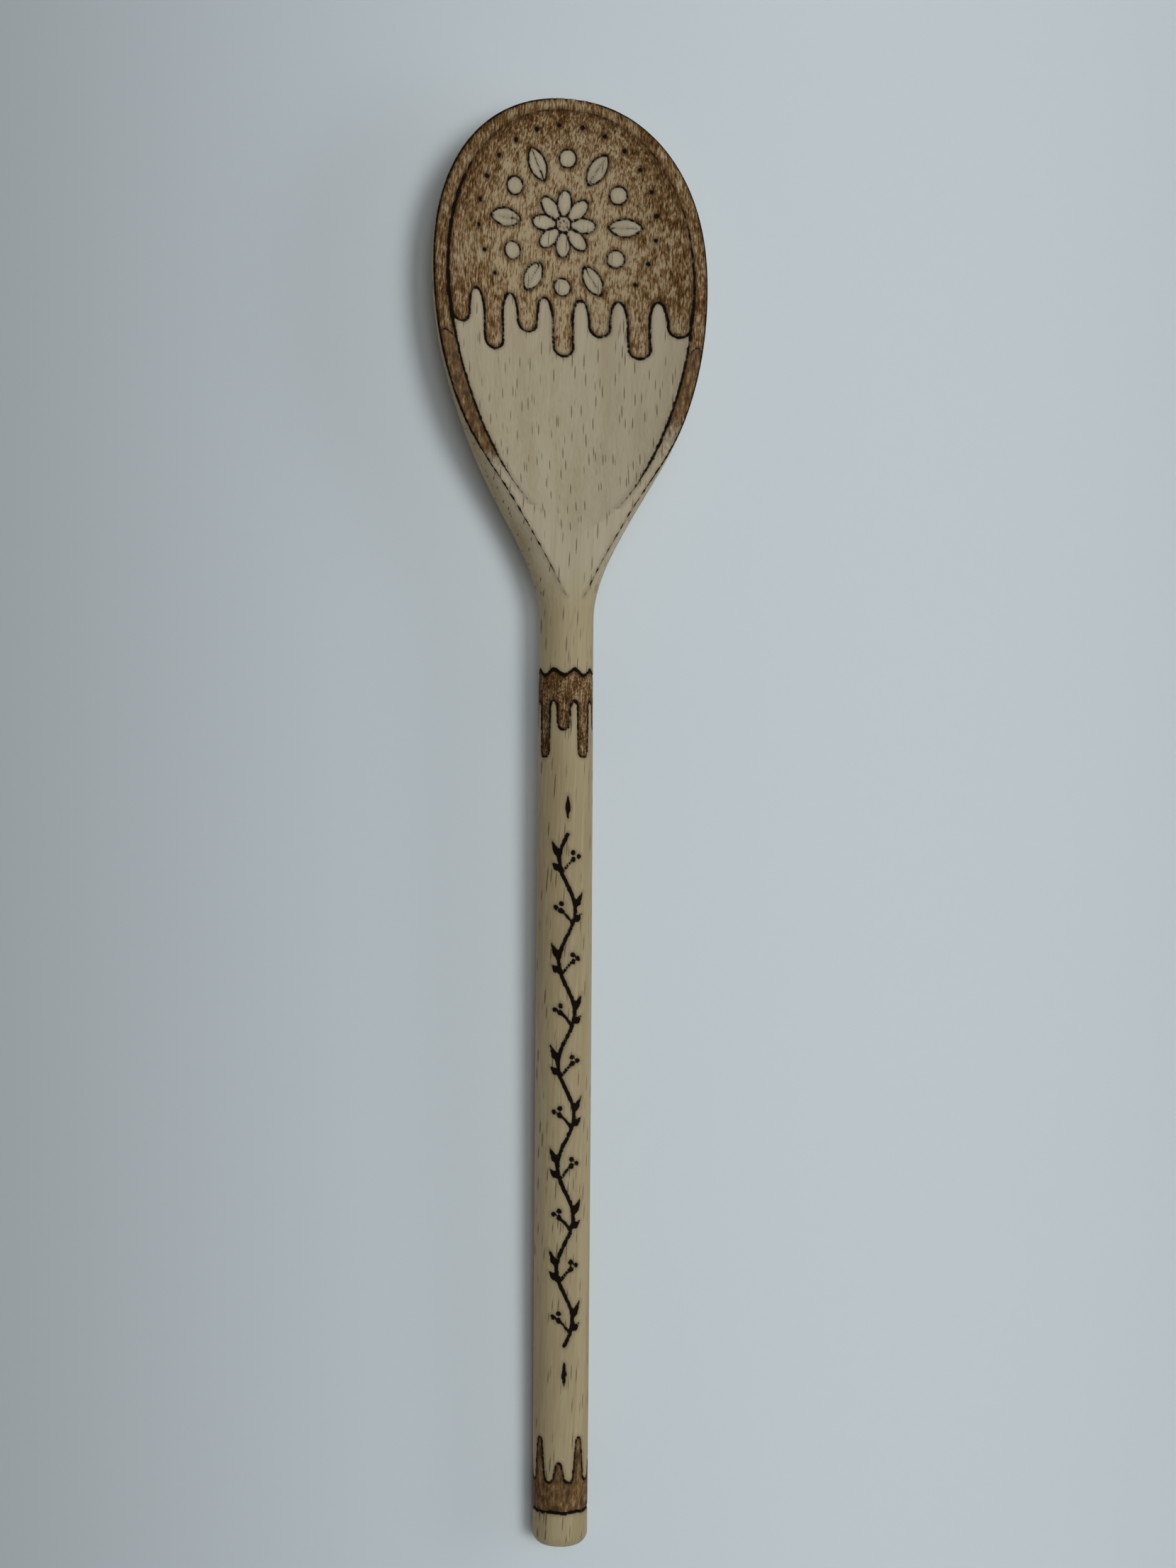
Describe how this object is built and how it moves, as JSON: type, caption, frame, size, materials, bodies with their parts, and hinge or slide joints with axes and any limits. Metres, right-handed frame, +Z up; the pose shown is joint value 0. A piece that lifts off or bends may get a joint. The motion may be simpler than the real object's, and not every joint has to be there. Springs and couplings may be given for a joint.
{
  "type": "wooden stirring spoon",
  "caption": "Wooden stirring spoon with a round handle and an egg-shaped bowl, its face and handle decorated with burnt drips, a plain rosette and a leafy vine.",
  "frame": {"origin": "on the surface that the spoon lies on, under the middle of its footprint", "axes": "+Y along the spoon towards the bowl's tip, +Z up out of the bowl's face, +X to the right seen from above with the bowl away from the viewer"},
  "size_m": [0.0604, 0.3, 0.0152],
  "materials": {
    "beech": "sanded bare beech, charred brown and black where it is decorated with a hot pen"
  },
  "bodies": {
    "root": {"spoon": "beech"}
  },
  "joints": []
}
